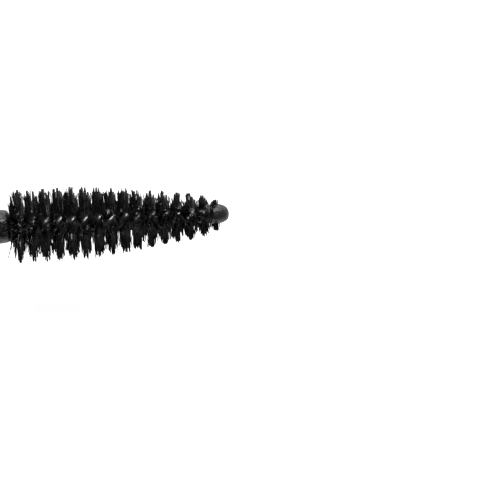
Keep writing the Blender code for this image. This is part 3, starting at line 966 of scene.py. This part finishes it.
def clots_at_stem_end():
    """Clots where the first bristles meet the stem."""
    count = STEM_END_CLOTS
    angle = RANDOM.uniform(0, math.tau, count)
    along = RANDOM.normal(0.25, 0.3, count) * MM
    out = RANDOM.uniform(0.5, 1.95, count) * MM
    size = RANDOM.uniform(0.12, 0.34, count) * MM
    return blobs(in_place(along, angle, out), size, RANDOM.uniform(0.7, 1.3, (count, 3)))


def make_product(looks, paths, draws):
    """The mascara on the brush, clotted on its core and drawn out along the bristles, as one mesh."""
    points_faces = joined([drawn_out(paths, draws), clots_on_core(), clots_at_stem_end()])
    piece = make_piece("product_on_brush", *points_faces, looks["mascara"], "wand", "mascara")
    merge = piece.modifiers.new("merge", "REMESH")
    merge.mode = "VOXEL"
    merge.voxel_size = PRODUCT_VOXEL
    merge.use_smooth_shade = True
    relax = piece.modifiers.new("relax", "SMOOTH")
    relax.factor = 0.5
    relax.iterations = 2


def make_coat(looks):
    """A wet coat on the two strands of the wire, where they show between the bristles."""
    along = np.linspace(*BARE_WIRE, 300)
    thick = COAT_RADIUS * (1 + 0.12 * np.sin(along / MM * 2.3) + 0.10 * np.sin(along / MM * 5.9 + 1.0))
    strands = []
    for turn in (0.5, 1.5):
        strand = in_place(along, bristle_angle(along) + turn * math.pi, np.full(len(along), COAT_OFFSET))
        strands.append(tubes(strand[None], thick[None], sides=20))
    make_piece("wire_coat", *joined(strands), looks["coat"], "wand", "mascara")


def make_tip_bead(looks):
    """The bead of product over the wire's bend, leaning a little to one side."""
    end = WIRE_TIP_X - STEM_END_X
    soft = 0.5 * MM
    outline = [
        (end - 2.6 * MM, 0.0),
        (end - 2.5 * MM, 0.75 * MM, SOFT_EDGE),
        (end - 1.9 * MM, 1.15 * MM, soft),
        (end - 0.6 * MM, 1.20 * MM, soft),
        (end + 0.3 * MM, 0.72 * MM, soft),
        (end + 0.45 * MM, 0.0),
    ]

    def lumps(along, angles, radius):
        waves = 0.6 * np.sin(angles + 0.6) + 0.35 * np.sin(2 * angles + along / MM)
        waves += 0.25 * np.sin(3 * angles - along / MM * 1.7)
        return waves * radius * 0.08

    points_faces = turned(outline, STEM_END_X, closed=False, relief=lumps, longest=0.08 * MM, steps=64)
    make_piece("tip_bead", *points_faces, looks["bead"], "wand", "mascara", sharp=180)


def dress_cap_weight(looks):
    """The slug keeps its CAD shape."""
    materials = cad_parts["cap_weight"].data.materials
    materials.clear()
    materials.append(looks["steel"])


# Stage


def make_floor():
    size = 3.0
    mesh = bpy.data.meshes.new("floor")
    corners = [(-size, -size, 0), (size, -size, 0), (size, size, 0), (-size, size, 0)]
    mesh.from_pydata(corners, [], [(0, 1, 2, 3)])
    look = Look("paper_white", (0.93, 0.93, 0.93), 0.8, Specular_IOR_Level=0.2)
    look.shader.inputs["Emission Color"].default_value = (1.0, 1.0, 1.0, 1.0)
    # The paper glows to stay white; the glow fades out close under the cap and the tube, which paints a
    # contact shadow there.
    painted_contact_shade = look.node("ShaderNodeAmbientOcclusion", samples=8)
    painted_contact_shade.inputs["Distance"].default_value = 5 * MM
    look.link(look.maths("MULTIPLY", painted_contact_shade.outputs["AO"], 0.85), look.shader.inputs["Emission Strength"])
    fibres = look.noise(1500.0, detail=4.0)
    look.colour(look.mixed(look.ranged(fibres, 0.0, 1.0), (0.92, 0.92, 0.92), (0.94, 0.94, 0.94)))
    mesh.materials.append(look.material)
    floor = bpy.data.objects.new("floor", mesh)
    floor.location.z = -0.00005
    bpy.context.scene.collection.objects.link(floor)


def make_sun(name, strength, spread, tilt, turn):
    """A wide soft light, tilt degrees from straight above, towards turn degrees round from +X."""
    light = bpy.data.lights.new(name, "SUN")
    light.energy = strength
    light.angle = math.radians(spread)
    sun = bpy.data.objects.new(name, light)
    sun.rotation_euler = (0.0, math.radians(tilt), math.radians(turn))
    bpy.context.scene.collection.objects.link(sun)


def make_world():
    """A studio that is bright towards the horizon and dim overhead."""
    world = bpy.data.worlds.new("studio")
    bpy.context.scene.world = world
    world.use_nodes = True
    tree = world.node_tree
    background = tree.nodes["Background"]
    coordinates = tree.nodes.new("ShaderNodeTexCoord")
    split = tree.nodes.new("ShaderNodeSeparateXYZ")
    ramp = tree.nodes.new("ShaderNodeValToRGB")
    ramp.color_ramp.elements[0].position = 0.12
    ramp.color_ramp.elements[0].color = (1.0, 1.0, 1.0, 1.0)
    ramp.color_ramp.elements[1].position = 0.32
    ramp.color_ramp.elements[1].color = (0.04, 0.04, 0.04, 1.0)
    tree.links.new(coordinates.outputs["Generated"], split.inputs["Vector"])
    tree.links.new(split.outputs["Z"], ramp.inputs["Fac"])
    tree.links.new(ramp.outputs["Color"], background.inputs["Color"])
    background.inputs["Strength"].default_value = 1.0


def make_camera():
    """Straight down on the brush, turned so that the wand rises a little to the right."""
    lens, sensor, view_width = 400.0, 36.0, 59.0 * MM
    roll = math.radians(-3.3)
    # From the view's middle to the stem's end, right and up
    stem_end_right, stem_end_up = -28.44 * MM, 2.81 * MM
    right = np.array([math.cos(roll), math.sin(roll)])
    up = np.array([-math.sin(roll), math.cos(roll)])
    middle = np.array([STEM_END_X, 0.0]) - right * stem_end_right - up * stem_end_up
    data = bpy.data.cameras.new("camera")
    data.lens = lens
    data.sensor_width = sensor
    data.clip_start = 0.01
    data.clip_end = 20.0
    camera = bpy.data.objects.new("camera", data)
    camera.location = (middle[0], middle[1], AXIS_Z + view_width * lens / sensor)
    camera.rotation_euler = (0.0, 0.0, roll)
    bpy.context.scene.collection.objects.link(camera)
    bpy.context.scene.camera = camera


make_camera()
make_floor()
make_world()
make_sun("key", 3.4, 24, 48, 90)
make_sun("rim", 0.8, 30, 78, 90)
bpy.context.scene.view_settings.view_transform = "Standard"

LOOKS = {  # by the record's slots, and two more of the product's own
    "gloss_black": gloss_black_look(),
    "dark_metal": dark_metal_look(),
    "liner_plastic": liner_look(),
    "steel": steel_look(),
    "stem_black": stem_look(),
    "wire_steel": wire_look(),
    "bristle_nylon": bristle_look(),
    "soft_foam": foam_look(),
    "vial_plastic": vial_look(),
    "wiper_rubber": wiper_look(),
    "label_film": label_look(),
    "mascara": product_look(),
    "coat": coat_look(),
    "bead": bead_look(),
}

make_cap_shell(LOOKS)
make_cap_top_disc(LOOKS)
make_cap_ring(LOOKS)
make_bottle_shell(LOOKS)
make_shoulder_collar(LOOKS)
make_base_plug(LOOKS)
make_base_label(LOOKS)
make_liner(LOOKS)
make_vial(LOOKS)
make_wiper(LOOKS)
make_gasket(LOOKS)
make_stem(LOOKS)
make_fill(LOOKS)
make_wire(LOOKS)
wet_paths, wet_draws = make_bristles(LOOKS)
make_product(LOOKS, wet_paths, wet_draws)
make_coat(LOOKS)
make_tip_bead(LOOKS)
dress_cap_weight(LOOKS)
